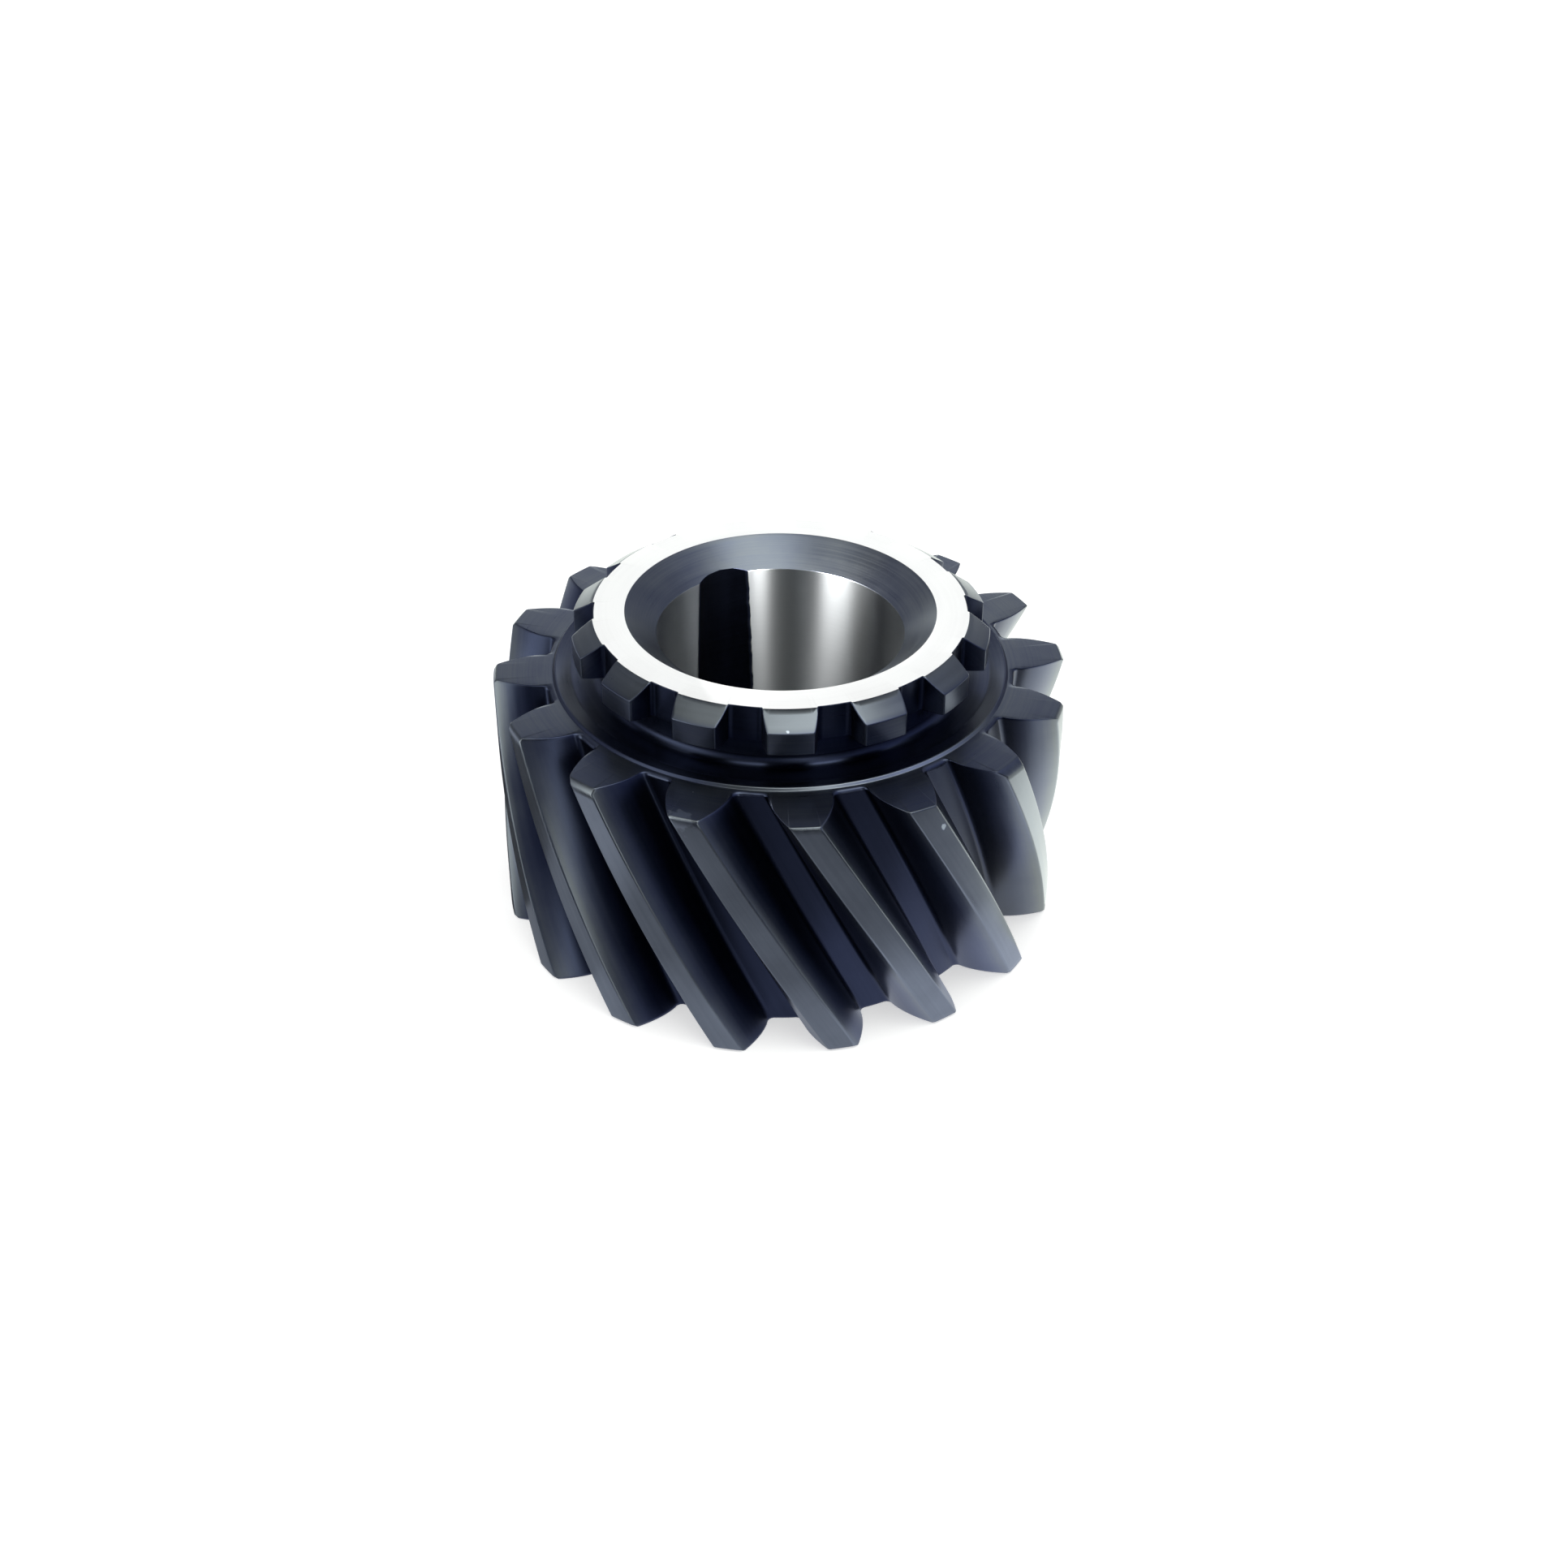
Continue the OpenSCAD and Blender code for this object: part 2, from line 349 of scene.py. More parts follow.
class Body:
    """The mesh of the pinion while it is built from closed loops of points round the axis."""

    def __init__(self):
        self.bm = bmesh.new()
        self.wear_and_highlight = self.bm.verts.layers.float.new("wear_and_highlight")

    def loop(self, points, heights, turns, wear_and_highlight):
        """Adds a closed loop. heights, turns and wear are numbers or lists with one entry a point."""
        made = []
        for i, point in enumerate(points):
            placed = point * rect(1, pick(turns, i) - pi / 2)
            vert = self.bm.verts.new((placed.real * MM, placed.imag * MM, pick(heights, i) * MM))
            vert[self.wear_and_highlight] = pick(wear_and_highlight, i)
            made.append(vert)
        return made

    def circle(self, r, z):
        """Adds a circle of the turned surfaces."""
        points = [rect(r, 2 * pi * i / TURNED_STEPS) for i in range(TURNED_STEPS)]
        return self.loop(points, z, 0, 0.0)

    def bore_circle(self, r, z):
        """Adds a circle of the bore or its lead-in, which dips out into the oil groove."""
        half = groove_half(r, z)
        points = []
        for share in spread(-1, 1, GROOVE_STEPS):
            a = share * half
            ragged = share * GROOVE_WORN_BACK + min(0, share) * groove_raggedness(z) if half else 0
            points.append(rect(max(r, groove_reach(a, z)) if half else r, a + ragged))
        edge = half + GROOVE_EDGE / r + (GROOVE_WORN_BACK if half else 0)
        points += [rect(r, a) for a in spread(edge, 2 * pi - edge, BORE_STEPS)]
        wear_and_highlight = [0.0] * len(points)
        if half:
            # A painted highlight along both edges of the groove
            wear_and_highlight[0] = wear_and_highlight[GROOVE_STEPS] = 1.0
        return self.loop(points, z, GROOVE_TURN, wear_and_highlight)

    def band(self, lower, upper, material):
        """Fills between two loops that have as many points as each other."""
        count = len(lower)
        for i in range(count):
            j = (i + 1) % count
            face = self.bm.faces.new((lower[i], lower[j], upper[j], upper[i]))
            face.material_index = pick(material, i)

    def stitch(self, outer, inner, material):
        """Fills a flat band between two loops that have different counts, walking round both by angle."""
        outer_angles = unrolled(outer, angle_of(outer[0]))
        start = min(range(len(inner)), key=lambda i: abs(wrapped(angle_of(inner[i]) - angle_of(outer[0]))))
        inner = inner[start:] + inner[:start]
        inner_angles = unrolled(inner, angle_of(outer[0]))
        i = j = 0
        while i < len(outer) or j < len(inner):
            a = outer[i % len(outer)]
            b = inner[j % len(inner)]
            if j == len(inner) or (i < len(outer) and outer_angles[i + 1] <= inner_angles[j + 1]):
                i += 1
                corners = (a, outer[i % len(outer)], b)
            else:
                j += 1
                corners = (a, inner[j % len(inner)], b)
            face = self.bm.faces.new(corners)
            face.material_index = material

    def bored(self, first, profile, material):
        """Carries a circle of the bore on through a profile and gives the last one."""
        last = first
        for r, z in profile:
            circle = self.bore_circle(r, z)
            self.band(last, circle, [GROOVE] * GROOVE_STEPS + [material] * (len(circle) - GROOVE_STEPS))
            last = circle
        return last

    def turned(self, first, profile, material):
        """Carries a circle on through the circles of a profile and gives the last one."""
        last = first
        for r, z in profile:
            circle = self.circle(r, z)
            self.band(last, circle, material)
            last = circle
        return last


def pick(value, i):
    """The entry for a point, from a list or from one number for all."""
    return value[i] if isinstance(value, list) else value


def angle_of(vert):
    return phase(complex(vert.co.x, vert.co.y))


def wrapped(angle):
    """The same angle between -180 and 180 degrees, in radians."""
    return (angle + pi) % (2 * pi) - pi


def unrolled(loop, start):
    """Angles of a closed loop, counted on from a start without a jump. The last is the first one's again."""
    angles = [start + wrapped(angle_of(loop[0]) - start)]
    for i in range(1, len(loop) + 1):
        step = wrapped(angle_of(loop[i % len(loop)]) - angle_of(loop[i - 1]))
        angles.append(angles[-1] + step)
    return angles


def groove_centre(z):
    """How far the axis of the oil groove is from the pinion's axis at a height."""
    return BORE_R + GROOVE_DEPTH - GROOVE_RADIUS + (MOUTH_Z - z) * tan(GROOVE_SLOPE)


def groove_reach(a, z):
    """How far the groove's wall is from the pinion's axis, at an angle from the groove's middle."""
    centre = groove_centre(z)
    return centre * cos(a) + sqrt(GROOVE_RADIUS ** 2 - (centre * sin(a)) ** 2)


def groove_half(r, z):
    """Half angle at which a circle round the axis meets the groove, or 0 where it doesn't."""
    centre = groove_centre(z)
    return acos(min(1, (r ** 2 + centre ** 2 - GROOVE_RADIUS ** 2) / (2 * r * centre)))


def groove_raggedness(z):
    """How far the groove's rough edge is off its place at a height, as an angle."""
    return radians(sum(turn * sin(rate * z + start) for turn, rate, start in GROOVE_WAVES))


def root_edges():
    """Width of the upper edge at each point of the outline: each root land is filed a little differently."""
    widths = []
    share = root_share()
    for tooth in range(TEETH):
        left = ROOT_EDGE * (1 + ROOT_EDGE_VARIATION * sin(ROOT_EDGE_WANDER * (tooth - 1)))
        right = ROOT_EDGE * (1 + ROOT_EDGE_VARIATION * sin(ROOT_EDGE_WANDER * tooth))
        widths += [FLANK_EDGE + (left - FLANK_EDGE) * s for s in share[::-1]]
        widths += [FLANK_EDGE + (right - FLANK_EDGE) * s for s in share[1:-1]]
    return widths


def end_loops(upper):
    """Loops from the start of the tips' chamfer to the end face, each as (outline, heights, wear)."""
    def heights(depths):
        return [FACE_WIDTH - depth if upper else depth for depth in depths]

    default = UPPER_TIP_CHAMFER if upper else LOWER_TIP_CHAMFER
    chamfers = [HAND_FILED_TIPS.get(tooth, default) if upper else default for tooth in range(TEETH)]
    widths = root_edges() if upper else [LOWER_EDGE] * len(root_edges())
    points_per_tooth = len(widths) // TEETH
    # The filed edges get the edge tone: partly rubbed oxide, partly a painted highlight
    wear_and_highlight = [min(1.0, w / ROOT_EDGE) for w in widths]
    depths = [max(chamfers[i // points_per_tooth], w) + FLANK_EDGE / 2 for i, w in enumerate(widths)]
    loops = [(teeth_outline([0] * TEETH), heights(depths), 0.0)]
    for inset_share, depth_share in EDGE_POINTS:
        cuts = [max(0, chamfer - FLANK_EDGE * depth_share) for chamfer in chamfers]
        outline = inset(teeth_outline(cuts), [w * inset_share for w in widths])
        loops.append((outline, heights([w * depth_share for w in widths]), wear_and_highlight))
    return loops


def turn_at(z):
    """Turn of the teeth at a height: they wind to the left going up."""
    return FIRST_TOOTH_TURN + TWIST_PER_MM * (FACE_WIDTH - z)


def add_teeth(body):
    """The helical teeth with their edges. Gives the loops on the lower and on the upper end face."""
    upper_end = end_loops(True)
    lower_end = end_loops(False)
    full_outline, top_heights, _ = upper_end[0]
    bottom_heights = lower_end[0][1]
    sections = lower_end[:0:-1]
    for share in spread(0, 1, AXIAL_STEPS):
        heights = [b + (t - b) * share for b, t in zip(bottom_heights, top_heights)]
        sections.append((full_outline, heights, 0.0))
    sections += upper_end[1:]
    loops = []
    for outline, heights, wear_and_highlight in sections:
        loops.append(body.loop(outline, heights, [turn_at(z) for z in heights], wear_and_highlight))
    for lower, upper in zip(loops, loops[1:]):
        body.band(lower, upper, FLANKS)
    return loops[0], loops[-1]


def rounded(profile):
    """For each (r, z, rounding) corner of a profile, its one point or the points of the bend round it."""
    corners = [complex(r, z) for r, z, _ in profile]
    groups = []
    for i, (corner, (_, _, rounding)) in enumerate(zip(corners, profile)):
        points = [corner]
        if rounding:
            back = corners[i - 1] - corner
            on = corners[i + 1] - corner
            start = corner + back / abs(back) * rounding
            end = corner + on / abs(on) * rounding
            points = bend(start, corner, end, ROUNDING_STEPS)
        groups.append([(p.real, p.imag) for p in points])
    return groups


def dog_height(r):
    """Height of the ring face, or of the sloping crown past it, at a radius."""
    crown_start = RING_R + DOG_CROWN_STEP
    share = max(0, (r - crown_start) / (DOG_R - crown_start))
    return TOP_Z - DOG_CROWN_DROP * share


def dog_outline():
    """Closed outline of the ring with its dog teeth, whose flanks are arcs."""
    foot = rect(RING_R, asin(DOG_FOOT_WIDTH / (2 * RING_R)))
    edge = rect(DOG_R, asin(DOG_EDGE_WIDTH / (2 * DOG_R)))
    chord = edge - foot
    arm = sqrt(DOG_FLANK_RADIUS ** 2 - abs(chord / 2) ** 2)
    centre = (foot + edge) / 2 - 1j * chord / abs(chord) * arm
    foot_heading = phase(foot - centre)
    corner_heading = phase(edge - centre) + DOG_CORNER_ROUNDING / DOG_FLANK_RADIUS
    headings = spread(corner_heading, foot_heading, DOG_FLANK_STEPS)
    flank = [centre + rect(DOG_FLANK_RADIUS, heading) for heading in headings]
    land_half = phase(edge) - DOG_CORNER_ROUNDING / DOG_R
    land = [rect(DOG_R, a) for a in spread(0, land_half, DOG_LAND_STEPS // 2)]
    corner = bend(land[-1], edge, flank[0], ROUNDING_STEPS)
    gap = [rect(RING_R, a) for a in spread(phase(foot), DOG_PITCH / 2, DOG_GAP_STEPS // 2)]
    half = land + corner[1:] + flank[1:] + gap[1:]
    points = []
    for dog in range(DOG_COUNT):
        points += [p * rect(1, dog * DOG_PITCH) for p in whole_tooth(half)]
    return points


def add_dog_ring(body, neck_top):
    """The ring with its dog teeth on top of the neck. Gives the loop where the ring face starts."""
    outline = dog_outline()
    last = None
    for share, depth in reversed(EDGE_POINTS):
        moved = inset(outline, [DOG_EDGE * share] * len(outline))
        loop = body.loop(moved, DOG_UNDER_Z + DOG_EDGE * depth, FIRST_DOG_TURN, 0.0)
        if last:
            body.band(last, loop, DOG_SIDES)
        else:
            body.stitch(loop, neck_top, DOG_SIDES)
        last = loop
    for share, depth in EDGE_POINTS:
        moved = inset(outline, [DOG_EDGE * share] * len(outline))
        heights = [dog_height(abs(p)) - DOG_EDGE * depth for p in moved]
        loop = body.loop(moved, heights, FIRST_DOG_TURN, 0.0 if depth == 1 else DOG_EDGE_WEAR_AND_HIGHLIGHT)
        body.band(last, loop, DOG_SIDES)
        last = loop
    crown_start = RING_R + DOG_CROWN_STEP
    for share in spread(0, 1, CROWN_ROWS)[1:]:
        row = []
        for p in moved:
            r = abs(p)
            if r > crown_start:
                r += (crown_start - r) * share
            row.append(rect(r, phase(p)))
        loop = body.loop(row, [dog_height(abs(p)) for p in row], FIRST_DOG_TURN, 0.0)
        body.band(last, loop, CROWNS)
        last = loop
    return last


def add_turned_top(body, end_face_edge):
    """End face, lip, recess and neck, then the dog ring, its face, the lead-in and the bore."""
    lip_start, lip_foot, lip_outer, lip_inner, floor_outer, floor_inner = rounded([
        (LIP_FOOT_R + LIP_APRON, FACE_WIDTH, 0),
        (LIP_FOOT_R, FACE_WIDTH, LIP_FOOT_ROUNDING),
        (LIP_OUTER_R, LIP_Z, LIP_TOP_ROUNDING),
        (LIP_INNER_R, LIP_Z, LIP_TOP_ROUNDING),
        (FLOOR_OUTER_R, FLOOR_Z, RECESS_ROUNDING),
        (NECK_R + NECK_FILLET, FLOOR_Z, 0)
    ])
    lip_edge = body.circle(*lip_start[0])
    body.stitch(end_face_edge, lip_edge, END_FACE)
    recess_edge = body.turned(lip_edge, lip_foot + lip_outer + lip_inner, LIP)
    fillet_centre = complex(NECK_R + NECK_FILLET, FLOOR_Z + NECK_FILLET)
    fillet = [fillet_centre + rect(NECK_FILLET, a) for a in spread(1.5 * pi, pi, NECK_FILLET_STEPS)]
    recess = floor_outer + floor_inner + [(p.real, p.imag) for p in fillet[1:]]
    neck_foot = body.turned(recess_edge, recess, RECESS)
    neck_top = body.turned(neck_foot, [(NECK_R, DOG_UNDER_Z)], NECK)
    ring_edge = add_dog_ring(body, neck_top)

    mouth_start, mouth_edge, bore_edge, _ = rounded([
        (MOUTH_R + MOUTH_APRON, TOP_Z, 0),
        (MOUTH_R, TOP_Z, MOUTH_ROUNDING),
        (BORE_R, MOUTH_Z, BORE_ROUNDING),
        (BORE_R, LOWER_BORE_CHAMFER, 0)
    ])
    ring_inner = body.bore_circle(*mouth_start[0])
    body.stitch(ring_edge, ring_inner, RING_FACE)
    cone_top = body.bored(ring_inner, mouth_edge, RING_FACE)
    top_r, top_z = mouth_edge[-1]
    foot_r, foot_z = bore_edge[0]
    # The rows lie closer together towards the groove's arched end
    rows = [1 - (1 - t) ** 2 for t in spread(0, 1, LEAD_IN_ROWS)]
    cone = [(top_r + (foot_r - top_r) * t, top_z + (foot_z - top_z) * t) for t in rows[1:]]
    cone_foot = body.bored(cone_top, cone + bore_edge[1:2], LEAD_IN)
    wall = [(BORE_R, z) for z in spread(bore_edge[-1][1], LOWER_BORE_CHAMFER, BORE_ROWS)]
    return body.bored(cone_foot, bore_edge[2:-1] + wall, BORE)


def make_mesh():
    """The whole pinion as one closed mesh."""
    body = Body()
    lower_face, upper_face = add_teeth(body)
    bore_bottom = add_turned_top(body, upper_face)
    chamfer_edge = body.bored(bore_bottom, [(BORE_R + LOWER_BORE_CHAMFER, 0)], BORE)
    body.stitch(lower_face, chamfer_edge, END_FACE)
    bmesh.ops.remove_doubles(body.bm, verts=body.bm.verts, dist=MERGE_DISTANCE)
    bmesh.ops.dissolve_degenerate(body.bm, edges=body.bm.edges, dist=MERGE_DISTANCE)
    bmesh.ops.recalc_face_normals(body.bm, faces=body.bm.faces)
    for face in body.bm.faces:
        face.smooth = True
    mesh = bpy.data.meshes.new("pinion_body")
    body.bm.to_mesh(mesh)
    body.bm.free()
    return mesh


def node(tree, kind, inputs=None, **settings):
    """Adds a shader node. An input's value is a plain value, or a socket to link."""
    made = tree.nodes.new(kind)
    for name, value in settings.items():
        setattr(made, name, value)
    for name, value in (inputs or {}).items():
        socket = made.inputs[name]
        if isinstance(value, bpy.types.NodeSocket):
            tree.links.new(value, socket)
        else:
            socket.default_value = value
    return made


def new_material(name):
    """An empty node material with its output node."""
    material = bpy.data.materials.new(name)
    material.use_nodes = True
    material.node_tree.nodes.clear()
    return material, node(material.node_tree, "ShaderNodeOutputMaterial")


def calc(tree, operation, *values):
    """A number worked out from one, two or three others."""
    return node(tree, "ShaderNodeMath", dict(enumerate(values)), operation=operation).outputs[0]


def scaled(tree, vector, factor):
    """A vector with each of its three numbers multiplied."""
    return node(tree, "ShaderNodeVectorMath", {0: vector, 1: factor}, operation="MULTIPLY").outputs[0]


def between(tree, value, start, end, at_start, at_end):
    """A number from start to end, turned into one from at_start to at_end, where it stops."""
    return node(tree, "ShaderNodeMapRange", {
        "Value": value, "From Min": start, "From Max": end, "To Min": at_start, "To Max": at_end,
    }).outputs[0]


def varied(tree, pattern, values):
    """Spreads the values of a noise pattern over a pair of ends."""
    return between(tree, pattern, *NOISE_RANGE, *values)


def shaded(tree, colour, level):
    """A colour made lighter or darker."""
    return node(tree, "ShaderNodeVectorMath", {0: colour, "Scale": level}, operation="SCALE").outputs[0]


def noise(tree, vector, scale, detail):
    pattern = node(tree, "ShaderNodeTexNoise", {"Vector": vector, "Scale": scale, "Detail": detail})
    return pattern.outputs["Fac"]


def place_on(tree):
    """The place on the pinion, in metres."""
    return node(tree, "ShaderNodeTexCoord").outputs["Object"]


def distance_from_axis(tree, place):
    flat = scaled(tree, place, (1, 1, 0))
    return node(tree, "ShaderNodeVectorMath", {0: flat}, operation="LENGTH").outputs["Value"]


def distance_from(tree, place, spot):
    """How far the place is from a spot, which is given in mm."""
    centre = tuple(c * MM for c in spot)
    return node(tree, "ShaderNodeVectorMath", {0: place, 1: centre}, operation="DISTANCE").outputs["Value"]


def turning_marks(tree, place):
    """Fine rings round the axis, which fade in and out along their way."""
    parts = node(tree, "ShaderNodeSeparateXYZ", {0: place}).outputs
    along_section = calc(tree, "ADD", distance_from_axis(tree, place), parts["Z"])
    rings = node(tree, "ShaderNodeCombineXYZ", {
        0: calc(tree, "MULTIPLY", along_section, TURNING_MARKS_PER_METRE),
        1: calc(tree, "MULTIPLY", parts["X"], TURNING_FADES_PER_METRE),
        2: calc(tree, "MULTIPLY", parts["Y"], TURNING_FADES_PER_METRE),
    })
    return noise(tree, rings.outputs[0], *TURNING_NOISE)


def helical_marks(tree, place):
    """Fine lines along the teeth, which follow their twist."""
    height = node(tree, "ShaderNodeSeparateXYZ", {0: place}).outputs["Z"]
    twist = calc(tree, "MULTIPLY", height, TWIST_PER_MM / MM)
    unwound = node(tree, "ShaderNodeVectorRotate", {"Vector": place, "Angle": twist}, rotation_type="Z_AXIS")
    return noise(tree, scaled(tree, unwound.outputs[0], (1, 1, HELICAL_STRETCH)), *HELICAL_NOISE)


def radial_tone(tree, place, foot, tip, power):
    """Tone that rises from the foot of the teeth to their tips, which are given as (radius in mm, tone):
    partly oxide that thins outwards, partly painted shade deep between the teeth.
    """
    share = between(tree, distance_from_axis(tree, place), foot[0] * MM, tip[0] * MM, 0, 1)
    rise = calc(tree, "POWER", share, power)
    return calc(tree, "MULTIPLY_ADD", rise, tip[1] - foot[1], foot[1])


def flank_tone(tree, place):
    """Darker towards the roots, partly as painted shade, and lighter still over the rounded tips of the
    helical teeth.
    """
    r = distance_from_axis(tree, place)
    tip_lift = between(tree, r, (TIP_R - TIP_ROUNDING) * MM, TIP_R * MM, 0, TIP_LAND_LIFT_TONE)
    wear_and_painted_light = radial_tone(tree, place, (ROOT_R, ROOT_TONE), (TIP_R, TIP_TONE), FLANK_TONE_POWER)
    return calc(tree, "ADD", wear_and_painted_light, tip_lift)


# The dog teeth darken towards their foot: partly oxide, partly painted shade in the gaps
def dog_tone(tree, place):
    return radial_tone(tree, place, (RING_R, DOG_ROOT_TONE), (DOG_R, DOG_TIP_TONE), DOG_TONE_POWER)


def lip_tone(tree, place):
    """A painted highlight on the lip at the front right; elsewhere the lip keeps its oxide's tone."""
    spot = rect(LIP_OUTER_R, LIP_HIGHLIGHT_TURN - pi / 2)
    away = distance_from(tree, place, (spot.real, spot.imag, LIP_Z))
    near, far = LIP_HIGHLIGHT_REACH
    return between(tree, away, near * MM, far * MM, LIP_HIGHLIGHT_TONE, TONES[LIP])


def recess_tone(tree, place):
    """Painted shade: the recess is darkest at the front and lighter at the sides and the back."""
    away = distance_from(tree, place, (0, -LIP_INNER_R, FACE_WIDTH))
    near, far = RECESS_DARK_REACH
    return between(tree, away, near * MM, far * MM, TONES[RECESS], RECESS_SIDE_TONE)


def nicks_and_highlight(tree, place):
    """The tone that the nicked spots, the rubbed patch and the painted highlight add, each with a ragged
    edge.
    """
    ragged = varied(tree, noise(tree, place, *SPOT_NOISE), SPOT_RAGGEDNESS)
    total = 0
    for spot, radius, tone in NICKS_AND_HIGHLIGHT:
        away = calc(tree, "MULTIPLY", distance_from(tree, place, spot), ragged)
        added = between(tree, away, SPOT_CORE * radius * MM, radius * MM, tone, 0)
        total = calc(tree, "ADD", added, total)
    return total


def blackened_steel(name, tone, marks):
    """Satin black oxide on steel. tone is a number, or a function that builds one from the place; it carries
    painted light and shade as well as the oxide's own tone.
    """
    material, output = new_material(name)
    tree = material.node_tree
    place = place_on(tree)
    lines = marks(tree, place)
    clouds = noise(tree, place, *CLOUDS)
    grain = noise(tree, place, *GRAIN)
    wear_and_painted_light = node(tree, "ShaderNodeAttribute", attribute_name="wear_and_highlight").outputs["Fac"]
    level = tone(tree, place) if callable(tone) else tone
    level = calc(tree, "MULTIPLY", level, varied(tree, clouds, CLOUD_TONES))
    level = calc(tree, "MULTIPLY", level, varied(tree, lines, MARK_TONES))
    # Edges are drawn towards one tone: partly rubbed oxide, partly a painted highlight
    kept = calc(tree, "MULTIPLY", level, calc(tree, "SUBTRACT", 1, wear_and_painted_light))
    level = calc(tree, "ADD", kept, calc(tree, "MULTIPLY", wear_and_painted_light, EDGE_WEAR_AND_HIGHLIGHT_TONE))
    level = calc(tree, "ADD", level, nicks_and_highlight(tree, place))
    # The colour turns bluer as the tone falls, which tints the painted shade as well as thick oxide
    oxide = node(tree, "ShaderNodeMix", {
        0: between(tree, level, *BLUE_TINT_TONES, 0, 1),
        6: (*THICK_OXIDE_AND_SHADE_BLUE, 1),
        7: (*THIN_OXIDE, 1),
    }, data_type="RGBA").outputs[2]
    rough = calc(tree, "ADD", varied(tree, lines, MARK_ROUGHNESS), varied(tree, clouds, CLOUD_ROUGHNESS))
    scratches = node(tree, "ShaderNodeBump", {"Height": lines, "Strength": 1.0, "Distance": MARK_DEPTH})
    bump = node(tree, "ShaderNodeBump", {
        "Height": grain, "Strength": 1.0, "Distance": GRAIN_DEPTH, "Normal": scratches.outputs[0],
    })
    shader = node(tree, "ShaderNodeBsdfPrincipled", {
        "Base Color": shaded(tree, oxide, level),
        "Metallic": 1.0,
        "Roughness": rough,
        "Normal": bump.outputs[0],
    })
    tree.links.new(shader.outputs[0], output.inputs["Surface"])
    return material


def ground_steel(name):
    """The ground face of the ring, with its fine grinding rings. Its near-white, mostly matte colour paints
    in part of the face's bright reflection.
    """
    material, output = new_material(name)
    tree = material.node_tree
    place = place_on(tree)
    lines = turning_marks(tree, place)
    clouds = noise(tree, place, *GROUND_CLOUDS)
    level = calc(tree, "MULTIPLY", varied(tree, lines, GRINDING_TONES), varied(tree, clouds, GRINDING_TONES))
    bump = node(tree, "ShaderNodeBump", {"Height": lines, "Strength": 1.0, "Distance": GRINDING_DEPTH})
    shader = node(tree, "ShaderNodeBsdfPrincipled", {
        "Base Color": shaded(tree, GROUND_COLOUR, level),
        "Metallic": GROUND_METALLIC,
        "Roughness": varied(tree, lines, GROUND_ROUGHNESS),
        "Normal": bump.outputs[0],
    })
    tree.links.new(shader.outputs[0], output.inputs["Surface"])
    return material


def bore_steel(name):
    """The ground bore: its grinding rings draw each reflection out along the axis."""
    material, output = new_material(name)
    tree = material.node_tree
    tangent = node(tree, "ShaderNodeTangent", direction_type="RADIAL", axis="Z")
    level = varied(tree, turning_marks(tree, place_on(tree)), GRINDING_TONES)
    shader = node(tree, "ShaderNodeBsdfPrincipled", {
        "Base Color": shaded(tree, BORE_COLOUR, level),
        "Metallic": 1.0,
        "Roughness": BORE_ROUGHNESS,
        "Anisotropic": 1.0,
        "Anisotropic Rotation": QUARTER_TURN,
        "Tangent": tangent.outputs[0],
    })
    tree.links.new(shader.outputs[0], output.inputs["Surface"])
    return material


def add_pinion():
    pinion = bpy.data.objects.new("pinion_body", make_mesh())
    bpy.context.collection.objects.link(pinion)
    for material in (
        blackened_steel("blackened_flanks", flank_tone, helical_marks),
        blackened_steel("blackened_end_face", TONES[END_FACE], turning_marks),
        blackened_steel("blackened_lip", lip_tone, turning_marks),
        blackened_steel("blackened_recess", recess_tone, turning_marks),
        blackened_steel("blackened_neck", TONES[NECK], turning_marks),
        blackened_steel("blackened_dog_sides", dog_tone, turning_marks),
        blackened_steel("blackened_crowns", TONES[CROWNS], turning_marks),
        ground_steel("ground_ring_face"),
        blackened_steel("blackened_lead_in", TONES[LEAD_IN], turning_marks),
        bore_steel("ground_bore"),
        blackened_steel("blackened_groove", TONES[GROOVE], turning_marks),
    ):
        pinion.data.materials.append(material)
    normals = pinion.modifiers.new("weighted_normals", "WEIGHTED_NORMAL")
    normals.mode = "FACE_AREA"
    normals.weight = 80
    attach(pinion, "root")
    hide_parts(NODE)
    return pinion


def background_rays(tree):
    """1 for the rays of the camera and for those mirrored or let through, and 0 for all others."""
    path = node(tree, "ShaderNodeLightPath")
    seen = path.outputs["Is Camera Ray"]
    for kind in ("Is Glossy Ray", "Is Transmission Ray"):
        seen = calc(tree, "MAXIMUM", seen, path.outputs[kind])
    return seen


def add_world():
    """A plain white surround, which lights the scene as well."""
    world = bpy.data.worlds.new("studio")
    world.use_nodes = True
    world.cycles.sampling_method = "NONE"
    tree = world.node_tree
    tree.nodes.clear()
    white = node(tree, "ShaderNodeBackground", {"Color": WHITE, "Strength": 1.0})
    node(tree, "ShaderNodeOutputWorld", {"Surface": white.outputs[0]})
    bpy.context.scene.world = world


def emitter(name, colour, radiance):
    """A material that only gives off light. It isn't sampled as a lamp, as only the metal mirrors it."""
    material, output = new_material(name)
    tree = material.node_tree
    glow = node(tree, "ShaderNodeEmission", {"Color": (*colour, 1), "Strength": radiance})
    tree.links.new(glow.outputs[0], output.inputs["Surface"])
    material.cycles.emission_sampling = "NONE"
    return material


def add_stage_mesh(name, points, faces, material):
    """A part of the stage, which isn't part of the object."""
    mesh = bpy.data.meshes.new(name)
    mesh.from_pydata(points, [], faces)
    mesh.materials.append(material)
    obj = bpy.data.objects.new(name, mesh)
    bpy.context.collection.objects.link(obj)
    return obj


def only_mirrored(obj):
    """The metal mirrors a card or a panel, and nothing else sees it."""
    obj.visible_camera = False
    obj.visible_diffuse = False
    obj.visible_shadow = False


